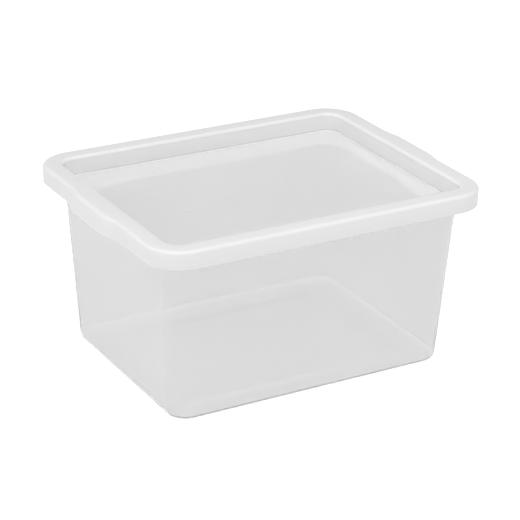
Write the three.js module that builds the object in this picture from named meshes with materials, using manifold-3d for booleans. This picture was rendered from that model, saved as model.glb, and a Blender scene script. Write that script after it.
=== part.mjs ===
// Plastic storage box with a press-on lid: two injection-moulded shells of natural polypropylene.
// Millimetres, +Z up. The origin is the middle of the base, on the surface that the box stands on.
// X runs between the short ends, which carry the grips, and Y between the long sides.

import * as THREE from 'three';
import { mergeVertices } from 'three/addons/utils/BufferGeometryUtils.js';
import Module from 'manifold-3d';

const { degToRad, lerp, smoothstep } = THREE.MathUtils;

// Closed box, outside
const LENGTH = 440; // skirt to skirt along X, beside the grips
const WIDTH = 350; // skirt to skirt along Y
const HEIGHT = 231; // base to the top of the lid's rim
const CORNER_RADIUS = 44; // corner of the lid in plan, at the skirt

// Lid: recessed panel, upright recess wall, flat rim and a skirt that hangs outside the box
const LID_WALL = 1.8;
const RIM_WIDTH = 24; // from the skirt's outside to the recess wall
const RIM_OUTER_ROUND = 4.5;
const RIM_INNER_ROUND = 3.5;
const SKIRT_HEIGHT = 22;
const BEAD_HEIGHT = 3; // bead inside the skirt's lower edge
const RECESS_DEPTH = 23;
const RECESS_LEAN = 1.5; // how far the recess wall leans in from its top to its foot
const RECESS_FOOT_ROUND = 2;
const PANEL_SAG = 7.5; // how far the thin panel hangs in its middle

// Grips: in the middle of each short end the skirt flares out, so that fingers can lift it
const GRIP_FLAT = 62; // length at full flare
const GRIP_TOP_LENGTH = 124; // whole length along the rim's top edge
const GRIP_LENGTH = 156; // whole length along the skirt's lower edge
const GRIP_TOP_FLARE = 4; // at the rim's top edge
const GRIP_FLARE = 8.5; // at the skirt's lower edge

// Box: drafted tub that steps out to a wider mouth and ends in a rim with a turned-down lip
const BOX_WALL = 1.8;
const BOX_CORNER_RADIUS = 25; // corner of the tub in plan, outside
const WALL_DRAFT = 3.4; // degrees
const BASE_EDGE_ROUND = 11; // between the wall and the base, outside
const FOOT_WIDTH = 16; // ring that the box stands on
const FOOT_HEIGHT = 0.8; // rise of the base inside that ring
const FOOT_SLOPE = 20; // width of the ramp between the ring and the raised base
const SHOULDER_STEP = 6.5; // how far the wall steps out to the mouth
const SHOULDER_HEIGHT = 8; // height over which it does
const SHOULDER_DROP = 5; // start of the step below the lid's panel
const BOX_RIM_ROUND = 3; // upper edges of the rim
const LIP_DEPTH = 10; // from the rim's top to the lip's lower edge
const LIP_GRIP_DROP = 5; // added to that at the grips

// Fits between the two
const SEAT_GAP = 0.3; // lid's rim over the box rim
const MOUTH_CLEARANCE = 2.5; // recess wall inside the mouth
const LIP_CLEARANCE = 1.5; // lip inside the skirt
const BEAD_CLEARANCE = 0.4; // lip inside the skirt's bead

// Gate marks that the moulding leaves: two dimples in the lid's panel and one under the base
const GATE_DIAMETER = 12;
const GATE_DEPTH = 0.3;
const LID_GATE_SPACING = 194;

// Fineness of the facets
const CORNER_STEPS = 7;
const LONG_SIDE_STEPS = 8;
const SHORT_END_STEPS = 20;
const PANEL_STEPS = 6; // rings between the edge of the hanging panel and its middle
const SMALLEST_CORNER = 3; // a corner in plan is never sharper
const GATE_SIDES = 24;

// Heights
const RIM_TOP = HEIGHT - LID_WALL - SEAT_GAP; // box rim, under the lid's rim
const SKIRT_FOOT = HEIGHT - SKIRT_HEIGHT;
const PANEL_TOP = HEIGHT - RECESS_DEPTH; // at its edge
const SHOULDER_FOOT = PANEL_TOP - LID_WALL - SHOULDER_DROP;
const SHOULDER_TOP = SHOULDER_FOOT + SHOULDER_HEIGHT;

// Insets, measured inwards from the outside of the lid's skirt
const MOUTH_INSIDE = RIM_WIDTH - LID_WALL - MOUTH_CLEARANCE;
const MOUTH_OUTSIDE = MOUTH_INSIDE - BOX_WALL;
const WALL_TOP = MOUTH_OUTSIDE + SHOULDER_STEP; // outside of the tub's wall, under the step
const LIP_OUTSIDE = LID_WALL + LIP_CLEARANCE;
const BEAD_INSIDE = LIP_OUTSIDE - BEAD_CLEARANCE;

// Inset of the drafted wall's outside at height z.
const wallInset = (z) => WALL_TOP + (SHOULDER_FOOT - z) * Math.tan(degToRad(WALL_DRAFT));

// Points of a section along an arc. Angle 0 points out of the box and 90 points up.
function arc(inset, z, radius, from, to, steps) {
  return Array.from({ length: steps + 1 }, (_, i) => {
    const angle = degToRad(lerp(from, to, i / steps));
    return { inset: inset - radius * Math.cos(angle), z: z + radius * Math.sin(angle) };
  });
}

// One turn round the box at a point of a section: a rounded rectangle, anticlockwise from above, with
// the grips' flare pushed out, and its drop pushed down, in the middle of the short ends.
function ring({ inset, z, radius = CORNER_RADIUS - inset, flare = 0, drop = 0, spread = GRIP_TOP_LENGTH }) {
  const round = Math.max(radius, SMALLEST_CORNER);
  const x = LENGTH / 2 - inset - round;
  const y = WIDTH / 2 - inset - round;
  const corners = [[x, y], [-x, y], [-x, -y], [x, -y]].map(([cx, cy], quarter) =>
    Array.from({ length: CORNER_STEPS + 1 }, (_, i) => {
      const angle = (Math.PI / 2) * (quarter + i / CORNER_STEPS);
      return new THREE.Vector3(cx + round * Math.cos(angle), cy + round * Math.sin(angle), z);
    }),
  );
  const outline = corners.flatMap((corner, quarter) => {
    const steps = quarter % 2 ? SHORT_END_STEPS : LONG_SIDE_STEPS;
    const start = corner.at(-1);
    const end = corners[(quarter + 1) % 4][0];
    const side = Array.from({ length: steps - 1 }, (_, i) => start.clone().lerp(end, (i + 1) / steps));
    return [...corner, ...side];
  });
  for (const point of outline) {
    const share = 1 - smoothstep(Math.abs(point.y), GRIP_FLAT / 2, spread / 2);
    point.x += Math.sign(point.x) * flare * share;
    point.z -= drop * share;
  }
  return outline;
}

// How far a face that hangs between supported edges lies below them, at (x, y): the full sag along the
// middle, falling off towards the long sides as a parabola and towards the short ends more steeply.
function hang(x, y, sag, halfLength, halfWidth) {
  return sag * (1 - (x / halfLength) ** 4) * (1 - (y / halfWidth) ** 2);
}

// Rings inside the edge of a hanging face, inwards.
function hangingRings(edge, sag) {
  const halfLength = Math.max(...edge.map(({ x }) => x));
  const halfWidth = Math.max(...edge.map(({ y }) => y));
  return Array.from({ length: PANEL_STEPS - 1 }, (_, i) =>
    edge.map((point) => {
      const inner = point.clone().multiplyScalar(1 - (i + 1) / PANEL_STEPS);
      return inner.setZ(point.z - hang(inner.x, inner.y, sag, halfLength, halfWidth));
    }),
  );
}

// Skin over the rings of a section that runs from the edge of the upper face, over the rim, to the edge
// of the lower face. Both faces hang by the sag, and a fan closes each in its middle.
function shell(section, sag = 0) {
  const rings = section.map(ring);
  if (sag > 0) {
    rings.unshift(...hangingRings(rings[0], sag).reverse());
    rings.push(...hangingRings(rings.at(-1), sag));
  }
  const count = rings[0].length;
  const middles = [section[0], section.at(-1)].map(({ z }) => new THREE.Vector3(0, 0, z - sag));
  const points = [...rings.flat(), ...middles];
  const [top, bottom] = [points.length - 2, points.length - 1];
  const last = (rings.length - 1) * count;
  const faces = [];
  for (let i = 0; i < count; i++) {
    const j = (i + 1) % count;
    faces.push(top, i, j, bottom, last + j, last + i);
    for (let start = 0; start < last; start += count) {
      faces.push(start + i, start + count + i, start + count + j);
      faces.push(start + i, start + count + j, start + j);
    }
  }
  return new THREE.BufferGeometry().setFromPoints(points).setIndex(faces);
}

const wasm = await Module();
wasm.setup();

function toSolid(geometry) {
  const bare = geometry.clone();
  bare.deleteAttribute('normal');
  bare.deleteAttribute('uv');
  const merged = mergeVertices(bare);
  const vertProperties = new Float32Array(merged.attributes.position.array);
  const triVerts = new Uint32Array(merged.index.array);
  return new wasm.Manifold(new wasm.Mesh({ numProp: 3, vertProperties, triVerts }));
}

function toGeometry(solid) {
  const { vertProperties, triVerts } = solid.getMesh();
  const geometry = new THREE.BufferGeometry();
  geometry.setAttribute('position', new THREE.BufferAttribute(vertProperties, 3));
  geometry.setIndex(new THREE.BufferAttribute(triVerts, 1));
  geometry.computeVertexNormals();
  return geometry;
}

// Cutter for a gate mark in an upper face at (x, 0, z): a shallow dish under a plug that clears the face.
function gateCutter(x, z) {
  const radius = GATE_DIAMETER / 2;
  const dish = [[0, -GATE_DEPTH], [radius / 2, -GATE_DEPTH], [radius, 0]];
  const plug = [[radius, GATE_DEPTH], [0, GATE_DEPTH]];
  const profile = [...dish, ...plug].map(([r, h]) => new THREE.Vector2(r, h));
  return new THREE.LatheGeometry(profile, GATE_SIDES).rotateX(Math.PI / 2).translate(x, 0, z);
}

// Share of the way down the skirt, which sets how far and how long a grip flares at that height.
function skirtGrip({ inset, z }) {
  const share = (HEIGHT - z) / SKIRT_HEIGHT;
  const flare = lerp(GRIP_TOP_FLARE, GRIP_FLARE, share);
  return { inset, z, flare, spread: lerp(GRIP_TOP_LENGTH, GRIP_LENGTH, share) };
}

function makeLid() {
  const panelEdge = RIM_WIDTH + RECESS_LEAN + RECESS_FOOT_ROUND;
  const foot = { inset: panelEdge, z: PANEL_TOP + RECESS_FOOT_ROUND };
  const inner = { inset: RIM_WIDTH - RIM_INNER_ROUND, z: HEIGHT - RIM_INNER_ROUND };
  const outer = { inset: RIM_OUTER_ROUND, z: HEIGHT - RIM_OUTER_ROUND };
  const upperFace = [
    ...arc(foot.inset, foot.z, RECESS_FOOT_ROUND, 270, 360, 2),
    ...arc(inner.inset, inner.z, RIM_INNER_ROUND, 180, 90, 3),
    ...arc(outer.inset, outer.z, RIM_OUTER_ROUND, 90, 0, 4).map(skirtGrip),
    skirtGrip({ inset: 0, z: SKIRT_FOOT }),
  ];
  const bead = [
    { inset: BEAD_INSIDE, z: SKIRT_FOOT },
    { inset: BEAD_INSIDE, z: SKIRT_FOOT + BEAD_HEIGHT / 2 },
    { inset: LID_WALL, z: SKIRT_FOOT + BEAD_HEIGHT },
  ].map(skirtGrip);
  const lowerFace = [
    ...arc(outer.inset, outer.z, RIM_OUTER_ROUND - LID_WALL, 0, 90, 4).map(skirtGrip),
    ...arc(inner.inset, inner.z, RIM_INNER_ROUND - LID_WALL, 90, 180, 3),
    ...arc(foot.inset, foot.z, RECESS_FOOT_ROUND + LID_WALL, 360, 270, 2),
  ];
  let solid = toSolid(shell([...upperFace, ...bead, ...lowerFace], PANEL_SAG));
  for (const x of [-LID_GATE_SPACING / 2, LID_GATE_SPACING / 2]) {
    const depth = hang(x, 0, PANEL_SAG, LENGTH / 2 - panelEdge, WIDTH / 2 - panelEdge);
    solid = solid.subtract(toSolid(gateCutter(x, PANEL_TOP - depth)));
  }
  return toGeometry(solid);
}

// Section points of the tub, with corners that follow the wall and not the lid.
const tubPoint = ({ inset, z }) => ({ inset, z, radius: BOX_CORNER_RADIUS - (inset - wallInset(z)) });

// The step from the wall to the mouth, upwards, with the corner radius passing from one to the other.
// Depth is how far a face lies inside the wall's outer face.
function shoulder(depth, steps) {
  return Array.from({ length: steps + 1 }, (_, i) => {
    const share = smoothstep(i / steps, 0, 1);
    const inset = lerp(WALL_TOP, MOUTH_OUTSIDE, share) + depth;
    const radius = lerp(BOX_CORNER_RADIUS, CORNER_RADIUS - MOUTH_OUTSIDE, share) - depth;
    return { inset, z: lerp(SHOULDER_FOOT, SHOULDER_TOP, i / steps), radius };
  });
}

function makeBox() {
  const baseEdge = wallInset(BASE_EDGE_ROUND) + BASE_EDGE_ROUND / Math.cos(degToRad(WALL_DRAFT));
  const edge = { inset: baseEdge, z: BASE_EDGE_ROUND };
  const footInside = baseEdge + FOOT_WIDTH;
  const base = [
    { inset: footInside + FOOT_SLOPE, z: FOOT_HEIGHT },
    { inset: footInside, z: 0 },
  ];
  const innerEdge = arc(edge.inset, edge.z, BASE_EDGE_ROUND - BOX_WALL, 270, 360 - WALL_DRAFT, 4);
  const outerEdge = arc(edge.inset, edge.z, BASE_EDGE_ROUND, 360 - WALL_DRAFT, 270, 4);
  const inside = [
    ...[...base.map(({ inset, z }) => ({ inset, z: z + BOX_WALL })), ...innerEdge].map(tubPoint),
    ...shoulder(BOX_WALL, 4),
  ];
  const gripped = (point) => ({ ...point, flare: GRIP_TOP_FLARE });
  const mouthEdge = { inset: MOUTH_INSIDE - BOX_RIM_ROUND, z: RIM_TOP - BOX_RIM_ROUND };
  const lipEdge = { inset: LIP_OUTSIDE + BOX_RIM_ROUND, z: RIM_TOP - BOX_RIM_ROUND };
  const lipFoot = RIM_TOP - LIP_DEPTH;
  const rim = [
    ...arc(mouthEdge.inset, mouthEdge.z, BOX_RIM_ROUND, 180, 90, 3),
    ...arc(lipEdge.inset, lipEdge.z, BOX_RIM_ROUND, 90, 0, 3).map(gripped),
    gripped({ inset: LIP_OUTSIDE, z: lipFoot, drop: LIP_GRIP_DROP }),
    gripped({ inset: LIP_OUTSIDE + BOX_WALL, z: lipFoot, drop: LIP_GRIP_DROP }),
    ...arc(lipEdge.inset, lipEdge.z, BOX_RIM_ROUND - BOX_WALL, 0, 90, 2).map(gripped),
    ...arc(mouthEdge.inset, mouthEdge.z, BOX_RIM_ROUND - BOX_WALL, 90, 180, 2),
  ];
  const outside = [...shoulder(0, 4).reverse(), ...[...outerEdge, ...base.toReversed()].map(tubPoint)];
  const solid = toSolid(shell([...inside, ...rim, ...outside]));
  const gate = toSolid(gateCutter(0, 0).rotateX(Math.PI).translate(0, 0, FOOT_HEIGHT));
  return toGeometry(solid.subtract(gate));
}

const polypropylene = { roughness: 0.25, metalness: 0, transparent: true, opacity: 0.55 };

const box = new THREE.Mesh(makeBox(), new THREE.MeshStandardMaterial({ color: 0xdddede, ...polypropylene }));
box.name = 'box';

const lid = new THREE.Mesh(makeLid(), new THREE.MeshStandardMaterial({ color: 0xe6e7e7, ...polypropylene }));
lid.name = 'lid';

const part = new THREE.Group();
part.add(box, lid);

export default part;
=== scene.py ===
# %% [markdown]
# # A plastic storage box with its lid
#
# The object is two injection-moulded shells of natural polypropylene: a tub with leaning walls, and a
# lid that presses on over the tub's rim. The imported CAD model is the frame. It gives the place and the
# size of both. Its solids could be shown as they are, but their facets would show in a clear, glossy
# plastic, so this script makes finer surfaces that stand for them in the picture.

# %% Load the frame
import math

import bpy
import numpy as np
from mathutils import Matrix, Vector


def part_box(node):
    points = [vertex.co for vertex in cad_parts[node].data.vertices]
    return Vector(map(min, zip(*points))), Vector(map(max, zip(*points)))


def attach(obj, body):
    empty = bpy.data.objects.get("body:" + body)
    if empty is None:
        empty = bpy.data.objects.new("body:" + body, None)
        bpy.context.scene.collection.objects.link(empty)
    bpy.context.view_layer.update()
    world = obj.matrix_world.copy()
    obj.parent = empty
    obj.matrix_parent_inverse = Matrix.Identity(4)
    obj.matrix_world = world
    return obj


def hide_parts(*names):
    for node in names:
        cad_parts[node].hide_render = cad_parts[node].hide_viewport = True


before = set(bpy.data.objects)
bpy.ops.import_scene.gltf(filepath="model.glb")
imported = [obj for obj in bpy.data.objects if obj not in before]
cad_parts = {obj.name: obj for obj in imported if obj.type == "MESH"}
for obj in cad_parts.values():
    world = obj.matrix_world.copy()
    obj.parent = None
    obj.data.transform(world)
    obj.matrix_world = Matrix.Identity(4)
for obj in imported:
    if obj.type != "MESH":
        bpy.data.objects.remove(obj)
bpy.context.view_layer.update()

# %% [markdown]
# ## The camera
#
# The picture looks down on the front left corner from about two and a half metres away, through a long
# lens, so the edges stay almost parallel. A constraint could aim the camera, but a small roll is easier
# to give in a matrix. A camera in Blender looks along its own -Z axis, so its matrix is built from three
# directions, right, up and back, and the roll turns the first two.

# %% Camera
AZIMUTH = math.radians(-29.85)
ELEVATION = math.radians(23.40)
ROLL = math.radians(0.93)
DISTANCE = 2.4376  # metres, as is the target
TARGET = Vector((-0.0195, -0.0402, 0.1368))
FOCAL_PIXELS = 2034.0
IMAGE_PIXELS = 520

back = Vector((
    math.sin(AZIMUTH) * math.cos(ELEVATION),
    -math.cos(AZIMUTH) * math.cos(ELEVATION),
    math.sin(ELEVATION),
))
level_right = Vector((0, 0, 1)).cross(back).normalized()
level_up = back.cross(level_right)
right = math.cos(ROLL) * level_right + math.sin(ROLL) * level_up
up = math.cos(ROLL) * level_up - math.sin(ROLL) * level_right

camera_data = bpy.data.cameras.new("camera")
camera_data.lens = FOCAL_PIXELS / IMAGE_PIXELS * camera_data.sensor_width
camera = bpy.data.objects.new("camera", camera_data)
turned = Matrix((right, up, back)).transposed()
camera.matrix_world = Matrix.LocRotScale(TARGET + DISTANCE * back, turned, None)
bpy.context.scene.collection.objects.link(camera)
bpy.context.scene.camera = camera
print(f"camera {DISTANCE} m away, lens {camera_data.lens:.1f} mm")

# %% [markdown]
# ## Sizes
#
# Every size is a real one in millimetres. What the frame can tell is read from the frame: the lid's
# outside and the height of the tub's rim. The rest repeats the wall thicknesses and roundings that the
# two mouldings were designed with. Insets are measured inwards from the outside of the lid's skirt.

# %% Sizes
MM = 0.001
WALL = 1.8
EDGE = 0.6  # rounding of the free edges
CORNER_RADIUS = 44  # of the lid's skirt, seen from above

GRIP_FLAT = 62
GRIP_TOP_LENGTH = 124
GRIP_LENGTH = 156
GRIP_TOP_FLARE = 4
GRIP_FLARE = 8.5
PANEL_SAG = 7.5

lid_low, lid_high = (np.array(corner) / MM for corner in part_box("lid"))
tub_high = np.array(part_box("box")[1]) / MM
HALF_LENGTH = lid_high[0] - GRIP_FLARE
HALF_WIDTH = lid_high[1]
HEIGHT = lid_high[2]
PANEL_TOP = lid_low[2] + PANEL_SAG + WALL
RIM_TOP = tub_high[2]
print(f"lid {2 * HALF_LENGTH:.1f} x {2 * HALF_WIDTH:.1f} mm, rim at {HEIGHT:.1f}, panel at {PANEL_TOP:.1f}")

# %% [markdown]
# ## The plan: a grid that fits a rounded rectangle
#
# Seen from above, every level of both mouldings is a rounded rectangle. A bevelled box would have that
# outline too, but not the even quads that a clear skin needs. So a square grid is bent to fit: in the
# straight part a grid line keeps its fraction of the length, and in a corner the square patch is pressed
# into a quarter disc by x' = x * sqrt(1 - y*y/2), y' = y * sqrt(1 - x*x/2). The edge of the grid is then
# a loop round the box, and its inside can close a panel or a floor.

# %% Plan
CORNER_LINES = 9


def grid_lines(straight):
    """Lines across one direction, as a fraction of the straight part and a place inside the corner.

    The fraction runs from -1 to 1 and stays there inside the corners, where the place runs on to -1 or 1.
    """
    corner = np.arange(1, CORNER_LINES + 1) / CORNER_LINES
    ends = np.ones(CORNER_LINES)
    fraction = np.concatenate([-ends, straight, ends])
    place = np.concatenate([-corner[::-1], 0 * straight, corner])
    return fraction, place


def plan_grid(x_straight, y_straight):
    """Four grids: x fraction, y fraction, and the corner disc's x' and y' by the square-to-disc formula."""
    (fx, fy), (x, y) = (np.meshgrid(*pair) for pair in zip(grid_lines(x_straight), grid_lines(y_straight)))
    return np.array([fx, fy, x * np.sqrt(1 - y**2 / 2), y * np.sqrt(1 - x**2 / 2)])


def round_edge(grid):
    """The values round the edge of a grid, anticlockwise, from the first of its first row."""
    return np.concatenate([grid[0, :-1], grid[:-1, -1], grid[-1, :0:-1], grid[:0:-1, 0]])


def rounded_rectangle(plan, inset, radius):
    """x = fraction * (half length - inset - radius) + corner place * radius, and y the same way."""
    fx, fy, corner_x, corner_y = plan
    x = fx * (HALF_LENGTH - inset - radius) + corner_x * radius
    y = fy * (HALF_WIDTH - inset - radius) + corner_y * radius
    return x, y


print("points round the smallest plan:", round_edge(plan_grid(np.array([-1, 1]), np.array([-1, 1]))[0]).size)

# %% [markdown]
# ## The section, carried round the plan
#
# A moulding has the same section all the way round. Blender could sweep a curve along a path, but then
# each height couldn't have a corner radius of its own. So a row of a section holds an inset, a height, a
# zone, the corner radius at that place, and how the grips in the short ends push it: outwards by a flare,
# downwards by a drop, over a length called the spread. A zone is a stretch with a material of its own.

# %% Section
def arc(inset, z, radius, start, end, steps):
    """Points inset - r cos a, z + r sin a, for angles in degrees: 0 points out of the box and 90 up."""
    angle = np.radians(np.linspace(start, end, steps + 1))
    return np.column_stack([inset - radius * np.cos(angle), z + radius * np.sin(angle)])


def rows(points, zone, radius=None, flare=0.0, spread=GRIP_TOP_LENGTH, drop=0.0):
    """Section rows. Without a radius, the corners are concentric with the skirt's."""
    inset, z = np.atleast_2d(np.asarray(points, float)).T
    radius = CORNER_RADIUS - inset if radius is None else radius
    return np.column_stack(np.broadcast_arrays(inset, z, zone, radius, flare, spread, drop))


def smoothstep(x, low, high):
    """0 below low, 1 above high, and 3t^2 - 2t^3 between."""
    t = np.clip((x - low) / (high - low), 0, 1)
    return t * t * (3 - 2 * t)


def grip_share(y, spread):
    """1 across the flat of a grip, falling to 0 at half the spread along a smoothstep."""
    return 1 - smoothstep(np.abs(y), GRIP_FLAT / 2, spread / 2)


print("grip share 0, 50 and 78 mm from its middle:", grip_share(np.array([0, 50, 78]), GRIP_LENGTH).round(2))

# %% [markdown]
# ## A closed skin
#
# Numpy works out all rows of a section and all points of the loop in one go, and neighbours are joined by
# quads. The first and the last row are closed by the plan's own grid, so the skin has no hole and no pole.
# Light can then tell inside from outside, as it must to bend through a clear wall.

# %% Shell
SHARP_EDGE = math.radians(40)


def new_piece(name, points, faces, zones):
    """A smooth-shaded object from points in millimetres, quads and each quad's zone."""
    mesh = bpy.data.meshes.new(name)
    mesh.from_pydata(points * MM, [], faces)
    mesh.polygons.foreach_set("material_index", zones)
    mesh.shade_smooth()
    mesh.set_sharp_from_angle(angle=SHARP_EDGE)
    piece = bpy.data.objects.new(name, mesh)
    bpy.context.scene.collection.objects.link(piece)
    print(f"{name}: {len(mesh.vertices)} points, {len(mesh.polygons)} quads")
    return piece


def shell_mesh(name, section, plan, top_relief, bottom_relief, middle_zone):
    """A closed skin over a section that runs from the upper face, over the edge, to the lower face.

    Ring k, point i: the rounded rectangle of row k, pushed by flare and drop times the grip's share. The
    first and last rings are filled by the plan's grid at their own height plus a relief, which is a
    function of x and y. A quad takes the lower zone number of its two rows, and the filled middles take
    the middle's.
    """
    inset, z, zone, radius, flare, spread, drop = section.T[:, :, None]
    edge = np.array([round_edge(layer) for layer in plan])
    x, y = rounded_rectangle(edge[:, None, :], inset, radius)
    share = grip_share(y, spread)
    x = x + np.sign(x) * flare * share
    rings = np.stack([x, y, z - drop * share], axis=-1)
    count, around = rings.shape[:2]
    points, faces = [rings.reshape(-1, 3)], []

    ring_ids = np.arange(count * around).reshape(count, around)
    following = np.roll(ring_ids, -1, axis=1)
    sides = [ring_ids[:-1], ring_ids[1:], following[1:], following[:-1]]
    faces.append(np.stack(sides, axis=-1).reshape(-1, 4))

    shape = plan.shape[1:]
    edge_places = round_edge(np.arange(shape[0] * shape[1]).reshape(shape))
    used = count * around
    for row, relief, turn in ((0, top_relief, 1), (-1, bottom_relief, -1)):
        x, y = rounded_rectangle(plan, inset[row], radius[row])
        inner = np.stack([x, y, z[row] + relief(x, y)], axis=-1)[1:-1, 1:-1]
        ids = np.zeros(shape, int)
        ids.flat[edge_places] = ring_ids[row]
        ids[1:-1, 1:-1] = used + np.arange(inner.shape[0] * inner.shape[1]).reshape(inner.shape[:2])
        used += inner.shape[0] * inner.shape[1]
        points.append(inner.reshape(-1, 3))
        quads = np.stack([ids[:-1, :-1], ids[:-1, 1:], ids[1:, 1:], ids[1:, :-1]], axis=-1)
        faces.append(quads.reshape(-1, 4)[:, ::turn])

    faces = np.concatenate(faces)
    side_zones = np.minimum(zone[:-1], zone[1:]).repeat(around)
    zones = np.full(len(faces), middle_zone, np.int32)
    zones[:len(side_zones)] = side_zones
    return new_piece(name, np.concatenate(points), faces, zones)


# %% [markdown]
# ## Gate marks and a hanging panel
#
# Plastic enters a mould through a gate, and a shallow dimple is left there: two in the lid's panel and
# one under the tub's floor. The wide panel also hangs a little in its middle. A bump map could draw both,
# but a clear surface shows real depth better, so they are reliefs added to the grid's height.

# %% Gate marks
GATE_RADIUS = 6
GATE_DEPTH = 0.3
LID_GATE_X = 97
FINE_HALF = 7.5  # half the width that gets fine grid lines round a gate
FINE_STEP = 0.75


def with_fine_lines(count, centres, half_width):
    """Evenly spread fractions from -1 to 1, with extra lines round each centre.

    Centres are in millimetres, and half_width is the length that the fraction 1 stands for. Lines that
    fall together after rounding are merged.
    """
    fine = np.arange(-FINE_HALF, FINE_HALF + FINE_STEP / 2, FINE_STEP)
    extra = [(centre + fine) / half_width for centre in centres]
    return np.unique(np.round(np.concatenate([np.linspace(-1, 1, count), *extra]), 5))


def flat(x, y):
    """No relief."""
    return 0 * x


def dimple(x, y):
    """-depth in the middle, rising to 0 at the radius along a smoothstep."""
    return GATE_DEPTH * (smoothstep(np.hypot(x, y), 0, GATE_RADIUS) - 1)


print("a dimple's depth 0, 3 and 6 mm from its middle:", dimple(np.array([0, 3, 6]), 0).round(3))

# %% [markdown]
# ## The lid
#
# The section starts at the recessed panel, climbs the recess wall, crosses the flat rim and hangs down as
# the skirt. A bead inside the skirt's lower edge centres the lid on the tub. In the middle of each short
# end the skirt flares out, more at its foot than at the rim, and that is where fingers lift the lid. A
# box with bevels and a solidify modifier could give the shell, but not this flare.

# %% Lid sizes
PANEL, RECESS, LID_RIM = range(3)
RIM_WIDTH = 24
RIM_OUTER_ROUND = 4.5
RIM_INNER_ROUND = 3.5
SKIRT_HEIGHT = 22
SKIRT_FOOT = HEIGHT - SKIRT_HEIGHT
BEAD_HEIGHT = 3
BEAD_INSIDE = 2.9
RECESS_LEAN = 1.5
RECESS_FOOT_ROUND = 2
PANEL_EDGE = RIM_WIDTH + RECESS_LEAN + RECESS_FOOT_ROUND
print(f"panel {2 * (HALF_LENGTH - PANEL_EDGE):.0f} x {2 * (HALF_WIDTH - PANEL_EDGE):.0f} mm")


# %% Lid surfaces
def skirt_rows(points):
    """Rows of the skirt: flare and spread grow evenly from the rim's top to the skirt's foot."""
    share = (HEIGHT - np.atleast_2d(points)[:, 1]) / SKIRT_HEIGHT
    flare = GRIP_TOP_FLARE + (GRIP_FLARE - GRIP_TOP_FLARE) * share
    spread = GRIP_TOP_LENGTH + (GRIP_LENGTH - GRIP_TOP_LENGTH) * share
    return rows(points, LID_RIM, flare=flare, spread=spread)


def hang(x, y):
    """-sag * (1 - (x / half length)^4) * (1 - (y / half width)^2), with the panel's own half sizes."""
    half_length, half_width = HALF_LENGTH - PANEL_EDGE, HALF_WIDTH - PANEL_EDGE
    return -PANEL_SAG * (1 - (x / half_length) ** 4) * (1 - (y / half_width) ** 2)


def lid_panel(x, y):
    """The hanging panel with a dimple at each of its two gates."""
    return hang(x, y) + dimple(np.abs(x) - LID_GATE_X, y)


print("the panel hangs", -hang(0, 0), "mm in its middle and", round(-hang(LID_GATE_X, 0), 1), "at the gates")

# %% [markdown]
# ## The lid's section
#
# At the recess's foot such a lid shows a thin bright line with a dark one beside it, where a small fillet
# bends the light. Two strips of other geometry could draw them, but the fillet is there anyway. So it gets
# a milky zone below and a half-clear one above, which give the same pair of lines.

# %% Lid
FILLET_MILKY = 270, 292, 2  # first angle, last angle and steps
FILLET_CLEAR = 300, 345, 3
foot = (PANEL_EDGE, PANEL_TOP + RECESS_FOOT_ROUND)
inner = (RIM_WIDTH - RIM_INNER_ROUND, HEIGHT - RIM_INNER_ROUND)
outer = (RIM_OUTER_ROUND, HEIGHT - RIM_OUTER_ROUND)
lid_section = np.concatenate([
    rows(arc(*foot, RECESS_FOOT_ROUND, *FILLET_MILKY), LID_RIM),
    rows(arc(*foot, RECESS_FOOT_ROUND, *FILLET_CLEAR), PANEL),
    rows(arc(*foot, RECESS_FOOT_ROUND, 360, 360, 0), RECESS),
    rows(arc(*inner, RIM_INNER_ROUND, 180, 90, 8), LID_RIM),
    skirt_rows(arc(*outer, RIM_OUTER_ROUND, 90, 0, 10)),
    skirt_rows(arc(EDGE, SKIRT_FOOT + EDGE, EDGE, 0, -90, 3)),
    skirt_rows(arc(BEAD_INSIDE - EDGE, SKIRT_FOOT + EDGE, EDGE, -90, -180, 3)),
    skirt_rows([(BEAD_INSIDE, SKIRT_FOOT + BEAD_HEIGHT / 2), (WALL, SKIRT_FOOT + BEAD_HEIGHT)]),
    skirt_rows(arc(*outer, RIM_OUTER_ROUND - WALL, 0, 90, 6)),
    rows(arc(*inner, RIM_INNER_ROUND - WALL, 90, 180, 6), LID_RIM),
    rows(arc(*foot, RECESS_FOOT_ROUND + WALL, 360, 270, 6), RECESS),
])
LINES_ALONG, LINES_ACROSS = 41, 61
lid_plan = plan_grid(
    with_fine_lines(LINES_ALONG, [-LID_GATE_X, LID_GATE_X], HALF_LENGTH - CORNER_RADIUS),
    with_fine_lines(LINES_ACROSS, [0], HALF_WIDTH - CORNER_RADIUS),
)
lid = shell_mesh("lid_moulding", lid_section, lid_plan, lid_panel, hang, PANEL)
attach(lid, "lid")
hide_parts("lid")

# %% [markdown]
# ## The tub
#
# The tub's section starts on the floor, turns up a rounded edge into the leaning wall, steps out below
# the lid's panel to a wider mouth, and ends in a rim with a turned-down lip. The way back down runs one
# wall thickness outside. Under the floor a low ring carries the box, and the base climbs a little inside
# it. A solidify modifier could give the thickness, but the lip and the ring need a section of their own.

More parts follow.
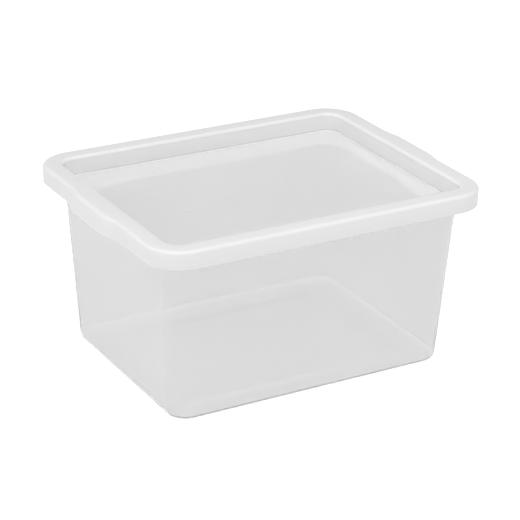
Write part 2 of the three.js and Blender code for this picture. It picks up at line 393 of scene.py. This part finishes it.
# %% Tub sizes
# The third zone is a band of the base edge that carries a painted contact shadow.
TUB_WALL, TUB_FLOOR, TUB_PAINTED_SHADOW, TUB_RIM = range(4)
WALL_DRAFT = math.radians(3.4)
TUB_CORNER_RADIUS = 25
SMALLEST_CORNER = 3
BASE_EDGE_ROUND = 11
FOOT_WIDTH = 16
FOOT_HEIGHT = 0.8
FOOT_SLOPE = 20
SHOULDER_STEP = 6.5
SHOULDER_HEIGHT = 8
SHOULDER_DROP = 5
RIM_ROUND = 3
LIP_DEPTH = 10
LIP_GRIP_DROP = 5
MOUTH_CLEARANCE = 2.5
LIP_OUTSIDE = HALF_WIDTH - tub_high[1]
MOUTH_INSIDE = RIM_WIDTH - WALL - MOUTH_CLEARANCE
MOUTH_OUTSIDE = MOUTH_INSIDE - WALL
WALL_TOP = MOUTH_OUTSIDE + SHOULDER_STEP
SHOULDER_FOOT = PANEL_TOP - WALL - SHOULDER_DROP
print(f"rim at {RIM_TOP:.1f} mm, wall up to {SHOULDER_FOOT:.1f}")


# %% Tub surfaces
def wall_inset(z):
    """Inset of the leaning wall's outside: inset under the step + depth below it * tan(draft)."""
    return WALL_TOP + (SHOULDER_FOOT - z) * math.tan(WALL_DRAFT)


def tub_rows(points, zone=TUB_WALL):
    """Rows of the tub, whose corner radius shrinks as a face lies inside the wall's outer face."""
    inset, z = np.atleast_2d(points).T
    radius = np.maximum(TUB_CORNER_RADIUS - (inset - wall_inset(z)), SMALLEST_CORNER)
    return rows(points, zone, radius=radius)


def shoulder_rows(depth, steps=10):
    """The step outwards, upwards: inset and corner radius pass from wall to mouth along a smoothstep."""
    t = np.linspace(0, 1, steps + 1)
    share = smoothstep(t, 0, 1)
    inset = WALL_TOP - SHOULDER_STEP * share + depth
    radius = TUB_CORNER_RADIUS + (CORNER_RADIUS - MOUTH_OUTSIDE - TUB_CORNER_RADIUS) * share - depth
    return rows(np.column_stack([inset, SHOULDER_FOOT + SHOULDER_HEIGHT * t]), TUB_WALL, radius=radius)


def lip_rows(points, drop=0.0):
    """Rows of the rim's outer edge, which keeps the lid's upper flare at the grips."""
    return rows(points, TUB_RIM, flare=GRIP_TOP_FLARE, drop=drop)


def floor_dimple(x, y):
    """The gate's dimple seen from below, so it goes up."""
    return -dimple(x, y)


print(f"the wall leans in by {wall_inset(0) - WALL_TOP:.1f} mm from the step to the ground")

# %% [markdown]
# ## The tub's section
#
# Where a clear box meets what it stands on, its rounded edge shows a thin dark line of shadow. Deeper
# shadow on the floor would darken the whole stage, so a few degrees of the base edge get a grey zone,
# a painted shadow for that line, and the rest of the edge stays clear.

# %% Tub
# The painted contact shadow covers these degrees of the base edge's arc.
SHADOW_BAND_FROM, SHADOW_BAND_TO = 334, 324  # degrees on the base edge's arc
INNER_WALL_FROM = 278
CLIMB_ROWS = 9
edge_inset = wall_inset(BASE_EDGE_ROUND) + BASE_EDGE_ROUND / math.cos(WALL_DRAFT)
base_edge = (edge_inset, BASE_EDGE_ROUND)
climb = np.linspace(1, 0, CLIMB_ROWS)
base_insets = edge_inset + FOOT_WIDTH + FOOT_SLOPE * climb
base = np.column_stack([base_insets, FOOT_HEIGHT * smoothstep(climb, 0, 1)])
wall_angle = 360 - math.degrees(WALL_DRAFT)
mouth = (MOUTH_INSIDE - RIM_ROUND, RIM_TOP - RIM_ROUND)
lip = (LIP_OUTSIDE + RIM_ROUND, RIM_TOP - RIM_ROUND)
lip_foot = RIM_TOP - LIP_DEPTH
tub_section = np.concatenate([
    tub_rows(base + (0, WALL), TUB_FLOOR),
    tub_rows(arc(*base_edge, BASE_EDGE_ROUND - WALL, 270, 270, 0), TUB_FLOOR),
    tub_rows(arc(*base_edge, BASE_EDGE_ROUND - WALL, INNER_WALL_FROM, wall_angle, 9)),
    shoulder_rows(WALL),
    rows(arc(*mouth, RIM_ROUND, 180, 90, 6), TUB_RIM),
    lip_rows(arc(*lip, RIM_ROUND, 90, 0, 6)),
    lip_rows(arc(LIP_OUTSIDE + EDGE, lip_foot + EDGE, EDGE, 0, -90, 3), drop=LIP_GRIP_DROP),
    lip_rows(arc(LIP_OUTSIDE + WALL - EDGE, lip_foot + EDGE, EDGE, -90, -180, 3), drop=LIP_GRIP_DROP),
    lip_rows(arc(*lip, RIM_ROUND - WALL, 0, 90, 4)),
    rows(arc(*mouth, RIM_ROUND - WALL, 90, 180, 4), TUB_RIM),
    shoulder_rows(0)[::-1],
    tub_rows(arc(*base_edge, BASE_EDGE_ROUND, wall_angle, SHADOW_BAND_FROM + 1, 6)),
    # painted contact shadow: this band is matt grey from outside
    tub_rows(arc(*base_edge, BASE_EDGE_ROUND, SHADOW_BAND_FROM, SHADOW_BAND_TO, 4), TUB_PAINTED_SHADOW),
    tub_rows(arc(*base_edge, BASE_EDGE_ROUND, SHADOW_BAND_TO - 1, 270, 6), TUB_FLOOR),
    tub_rows(base[::-1], TUB_FLOOR),
])
tub_plan = plan_grid(
    with_fine_lines(LINES_ALONG, [0], HALF_LENGTH - base_insets[0]),
    with_fine_lines(LINES_ACROSS, [0], HALF_WIDTH - base_insets[0]),
)
tub = shell_mesh("tub_moulding", tub_section, tub_plan, flat, floor_dimple, TUB_FLOOR)
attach(tub, "box")
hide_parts("box")

# %% [markdown]
# ## Colours and nodes
#
# Colours are written as sRGB hex values, as a paint program shows them, while shaders work with linear
# light, so one function turns the first into the second. Materials could be clicked together in the node
# editor, but a script can be read, so another function adds a node with its settings and links.

# %% Colours and nodes
COLOUR_A, COLOUR_B, COLOUR_OUT = 6, 7, 2  # sockets of a Mix node that mixes colours


def linear(hex_colour):
    """sRGB hex to linear RGBA: below 0.04045 v / 12.92, and ((v + 0.055) / 1.055) ^ 2.4 above."""
    value = np.array([int(hex_colour[i:i + 2], 16) for i in (1, 3, 5)]) / 255
    value = np.where(value <= 0.04045, value / 12.92, ((value + 0.055) / 1.055) ** 2.4)
    return (*value.tolist(), 1.0)


def add_node(tree, kind, inputs=(), **settings):
    """Adds a node, sets its properties, and sets or links its inputs, given as (socket, value or output)."""
    node = tree.nodes.new(kind)
    for key, value in settings.items():
        setattr(node, key, value)
    for socket, value in inputs:
        if isinstance(value, bpy.types.NodeSocket):
            tree.links.new(value, node.inputs[socket])
        else:
            node.inputs[socket].default_value = value
    return node


def new_material(name):
    """A material with an empty node tree, and that tree."""
    material = bpy.data.materials.new(name)
    material.use_nodes = True
    material.node_tree.nodes.clear()
    return material, material.node_tree


print("middle grey in linear light:", round(linear("#808080")[0], 3))

# %% [markdown]
# ## Natural polypropylene
#
# Uncoloured polypropylene is milky: part of the light goes straight through a thin wall, and part comes
# back as soft white. Subsurface scattering could give the white part, but in walls this thin a plain
# diffuse share came closer to the real rims. So one Principled shader does it all, and its transmission
# weight is the clear share. A polished mould leaves a gloss with a faint orange peel.

# %% Moulded polypropylene
POLYPROPYLENE_IOR = 1.49
FLOW_SIZE = 60  # the tone drifts over this many millimetres, as the melt flowed
FLOW_DETAIL = 2.0
PEEL_SIZE = 5  # coarser than most orange peel, so that it can show from two metres away
PEEL_HEIGHT = 1
PEEL_DETAIL = 1.0
PEEL_STRENGTH = 0.005
# Painted shade: the recess's grey foot fades out at this height.
PAINTED_SHADE_TO = 222  # height at which the grey foot of the recess has faded out


def moulded_polypropylene(name, tones, clear, roughness, painted_shade_foot=None, outside=None):
    """Plastic with a clear and a milky share, whose tone drifts between two near-white greys.

    A grey foot is painted shade for the recess's foot, where less light gets in: it is mixed in evenly
    from a set height down to the panel's level. An outside tone is a painted shadow: it makes the face
    matt and opaque from outside, while it stays clear from within.
    """
    material, tree = new_material(name)
    place = add_node(tree, "ShaderNodeTexCoord").outputs["Object"]
    flow = add_node(tree, "ShaderNodeTexNoise", [
        ("Vector", place), ("Scale", 1 / (FLOW_SIZE * MM)), ("Detail", FLOW_DETAIL),
    ])
    tone = add_node(tree, "ShaderNodeMix", [
        ("Factor", flow.outputs["Fac"]), (COLOUR_A, linear(tones[0])), (COLOUR_B, linear(tones[1])),
    ], data_type="RGBA").outputs[COLOUR_OUT]
    # Painted shade: the tone greys towards the recess's foot and stands for the light that doesn't get in
    # there.
    if painted_shade_foot:
        height = add_node(tree, "ShaderNodeSeparateXYZ", [("Vector", place)]).outputs["Z"]
        rise = add_node(tree, "ShaderNodeMapRange", [
            ("Value", height), ("From Min", PANEL_TOP * MM), ("From Max", PAINTED_SHADE_TO * MM),
        ])
        tone = add_node(tree, "ShaderNodeMix", [
            ("Factor", rise.outputs["Result"]), (COLOUR_A, linear(painted_shade_foot)), (COLOUR_B, tone),
        ], data_type="RGBA").outputs[COLOUR_OUT]
    peel = add_node(tree, "ShaderNodeTexNoise", [
        ("Vector", place), ("Scale", 1 / (PEEL_SIZE * MM)), ("Detail", PEEL_DETAIL),
    ])
    bump = add_node(tree, "ShaderNodeBump", [
        ("Height", peel.outputs["Fac"]), ("Strength", PEEL_STRENGTH), ("Distance", PEEL_HEIGHT * MM),
    ])
    surface = add_node(tree, "ShaderNodeBsdfPrincipled", [
        ("Base Color", tone),
        ("Roughness", roughness),
        ("IOR", POLYPROPYLENE_IOR),
        ("Transmission Weight", clear),
        ("Normal", bump.outputs["Normal"]),
    ]).outputs["BSDF"]
    # Painted shadow: from outside the face is a matt grey, for the shade where the box meets the ground.
    if outside:
        from_within = add_node(tree, "ShaderNodeNewGeometry").outputs["Backfacing"]
        matt = add_node(tree, "ShaderNodeBsdfDiffuse", [("Color", linear(outside))]).outputs["BSDF"]
        sides = [(0, from_within), (1, matt), (2, surface)]
        surface = add_node(tree, "ShaderNodeMixShader", sides).outputs["Shader"]
    add_node(tree, "ShaderNodeOutputMaterial", [("Surface", surface)])
    print(f"{name}: {clear:.0%} clear")
    return material


# %% [markdown]
# ## The zones of the lid and of the tub
#
# It is the same plastic everywhere, but it doesn't look the same everywhere. Where a wall is folded over,
# as in the rims, light crosses it several times and the eye sees white. A single wall looks half clear or
# clear. One material with painted weights could say this, but a material for each zone is plainer. The
# materials are added in the order of the zones' numbers.

# %% Materials
GLOSSY, SATIN = 0.04, 0.06
RIM_TONES = "#f8f8f8", "#fbfbfb"
PANEL_TONES = "#fafafa", "#fcfcfc"
RECESS_TONES = "#f8f8f8", "#fafafa"
# Painted shade for the foot of the recess wall
RECESS_PAINTED_SHADE = "#f1f1f1"
TUB_WALL_TONES = "#f3f3f3", "#f6f6f6"
TUB_FLOOR_TONES = "#f6f6f6", "#f9f9f9"
# Painted contact shadow for the tub's base edge
PAINTED_SHADOW_TONE = "#acacac"

for name, tones, clear, painted_shade_foot in (
    # a glossy, half-clear sheet, through which the inside of the tub shows faintly
    ("moulded_polypropylene_lid_panel", PANEL_TONES, 0.4, None),
    # nearly opaque, with painted shade that makes it a little greyer towards its foot, where less light gets
    # in
    ("moulded_polypropylene_lid_recess", RECESS_TONES, 0.15, RECESS_PAINTED_SHADE),
    # folded over, so it is milky white with a bright line along its rounded edges
    ("moulded_polypropylene_lid_rim", RIM_TONES, 0.0, None),
):
    lid.data.materials.append(moulded_polypropylene(name, tones, clear, GLOSSY, painted_shade_foot=painted_shade_foot))

for name, tones, clear, outside in (
    # clear with a slight veil, so the far edges show softly through the near walls
    ("moulded_polypropylene_tub_wall", TUB_WALL_TONES, 0.85, None),
    # clearer still, so the white of the ground comes through two layers of plastic
    ("moulded_polypropylene_tub_floor", TUB_FLOOR_TONES, 0.95, None),
    # painted shadow: grey from outside, it stands for the dark line of shade where the box meets the ground
    ("moulded_polypropylene_tub_painted_shadow", TUB_FLOOR_TONES, 1.0, PAINTED_SHADOW_TONE),
    # folded over like the lid's rim, and as milky
    ("moulded_polypropylene_tub_rim", RIM_TONES, 0.0, None),
):
    tub.data.materials.append(moulded_polypropylene(name, tones, clear, SATIN, outside=outside))

# %% [markdown]
# ## The sky
#
# The sky is the main light. It is soft, and brighter towards the left, so that the left end is a little
# lighter than the front. The flat panel mirrors the sky behind the box, and a dim patch there keeps the
# panel from washing out. Big lamps could do the same, but would cast edges into the gloss. The camera
# itself sees plain white in place of the sky.

# %% Sky
SIDE, AHEAD = 0.492, 0.8  # strength away from the light and towards it
TOWARDS_LIGHT = (-0.76, -0.20, 0.61)
TURN_FROM, TURN_TO = -0.3, 0.5  # cosine to the light, from which and up to which the sky gets brighter
BEHIND = (0.39, 0.68, 0.62)  # towards the middle of the dim patch
DIM = 0.5
DIM_FROM, DIM_TO = 0.88, 0.97  # cosine to that middle, at the patch's rim and at its core

world = bpy.data.worlds.new("studio")
bpy.context.scene.world = world
world.use_nodes = True
sky = world.node_tree
sky.nodes.clear()
direction = add_node(sky, "ShaderNodeTexCoord").outputs["Generated"]
towards = add_node(sky, "ShaderNodeVectorMath", [
    (0, direction), (1, TOWARDS_LIGHT),
], operation="DOT_PRODUCT")
level = add_node(sky, "ShaderNodeMapRange", [
    ("Value", towards.outputs["Value"]),
    ("From Min", TURN_FROM), ("From Max", TURN_TO), ("To Min", SIDE), ("To Max", AHEAD),
])
away = add_node(sky, "ShaderNodeVectorMath", [
    (0, direction), (1, BEHIND),
], operation="DOT_PRODUCT")
dimming = add_node(sky, "ShaderNodeMapRange", [
    ("Value", away.outputs["Value"]),
    ("From Min", DIM_FROM), ("From Max", DIM_TO), ("To Min", 1.0), ("To Max", DIM),
], interpolation_type="SMOOTHSTEP")
levels = [(0, level.outputs["Result"]), (1, dimming.outputs["Result"])]
strength = add_node(sky, "ShaderNodeMath", levels, operation="MULTIPLY")
seen = add_node(sky, "ShaderNodeLightPath").outputs["Is Camera Ray"]
backdrop = add_node(sky, "ShaderNodeMath", [(0, strength.outputs[0]), (1, seen)], operation="MAXIMUM")
background = add_node(sky, "ShaderNodeBackground", [
    ("Color", linear("#ffffff")), ("Strength", backdrop.outputs[0]),
])
add_node(sky, "ShaderNodeOutputWorld", [("Surface", background.outputs["Background"])])
print(f"sky from {SIDE} to {AHEAD}, and {DIM} of that in the patch behind the box")

# %% [markdown]
# ## The floor
#
# A white floor in this light would come out grey, and so would the clear walls in front of it. More light
# would wash out the box. So rays from the camera and off the gloss get some extra white from the floor,
# and rays that went through the plastic see plain white. The light that the floor throws back on the box
# stays as it is, and so does the shadow under the box.

# %% Floor
FLOOR_PAINT = "#f4f4f4"
FLOOR_LIFT, MIRRORED_LIFT = 0.45, 0.2  # extra white for the camera and for reflections
FLOOR_HALF = 12.0  # metres
FLOOR_GAP = 0.2 * MM  # keeps the floor clear of the box's foot ring

floor_material, floor_tree = new_material("matt_white_floor")
path = add_node(floor_tree, "ShaderNodeLightPath").outputs
paint = add_node(floor_tree, "ShaderNodeBsdfDiffuse", [("Color", linear(FLOOR_PAINT))])
mirrored = add_node(floor_tree, "ShaderNodeMath", [
    (0, path["Is Glossy Ray"]), (1, MIRRORED_LIFT),
], operation="MULTIPLY")
lift = add_node(floor_tree, "ShaderNodeMath", [
    (0, path["Is Camera Ray"]), (1, FLOOR_LIFT), (2, mirrored.outputs[0]),
], operation="MULTIPLY_ADD")
glow = add_node(floor_tree, "ShaderNodeEmission", [("Strength", lift.outputs[0])])
lit = add_node(floor_tree, "ShaderNodeAddShader", [
    (0, paint.outputs["BSDF"]), (1, glow.outputs["Emission"]),
])
white = add_node(floor_tree, "ShaderNodeEmission", [("Strength", 1.0)])
shown = add_node(floor_tree, "ShaderNodeMixShader", [
    (0, path["Is Transmission Ray"]), (1, lit.outputs["Shader"]), (2, white.outputs["Emission"]),
])
add_node(floor_tree, "ShaderNodeOutputMaterial", [("Surface", shown.outputs["Shader"])])

corners = FLOOR_HALF * np.array([(-1, -1, 0), (1, -1, 0), (1, 1, 0), (-1, 1, 0)]) - (0, 0, FLOOR_GAP)
floor_mesh = bpy.data.meshes.new("floor")
floor_mesh.from_pydata(corners, [], [(0, 1, 2, 3)])
floor_mesh.materials.append(floor_material)
floor = bpy.data.objects.new("floor", floor_mesh)
bpy.context.scene.collection.objects.link(floor)
print(f"floor {2 * FLOOR_HALF:.0f} m square")

# %% [markdown]
# ## Lamps and view
#
# A wide lamp overhead draws the bright line along the lid's rounded edges, and a narrow one sharpens it
# along the front. Light crosses many clear walls here, so rays may bounce often, and the gloss isn't
# blurred to save noise, because that would darken the rims.

# %% Lamps and view
BOUNCES = 32

for name, length, width, power, place in (
    ("overhead_softbox", 1.8, 0.7, 6, (-0.4, -0.5, 1.6)),
    ("edge_strip", 1.0, 0.12, 2, (0.9, -0.8, 1.6)),
):
    lamp_data = bpy.data.lights.new(name, "AREA")
    lamp_data.shape = "RECTANGLE"
    lamp_data.size = length
    lamp_data.size_y = width
    lamp_data.energy = power
    lamp = bpy.data.objects.new(name, lamp_data)
    lamp.matrix_world = Matrix.Translation(place)
    bpy.context.scene.collection.objects.link(lamp)
    print(f"{name}: {length} x {width} m, {power} W")

for kind in ("max", "diffuse", "glossy", "transmission"):
    setattr(bpy.context.scene.cycles, kind + "_bounces", BOUNCES)
bpy.context.scene.cycles.blur_glossy = 0.0
bpy.context.scene.view_settings.view_transform = "Standard"
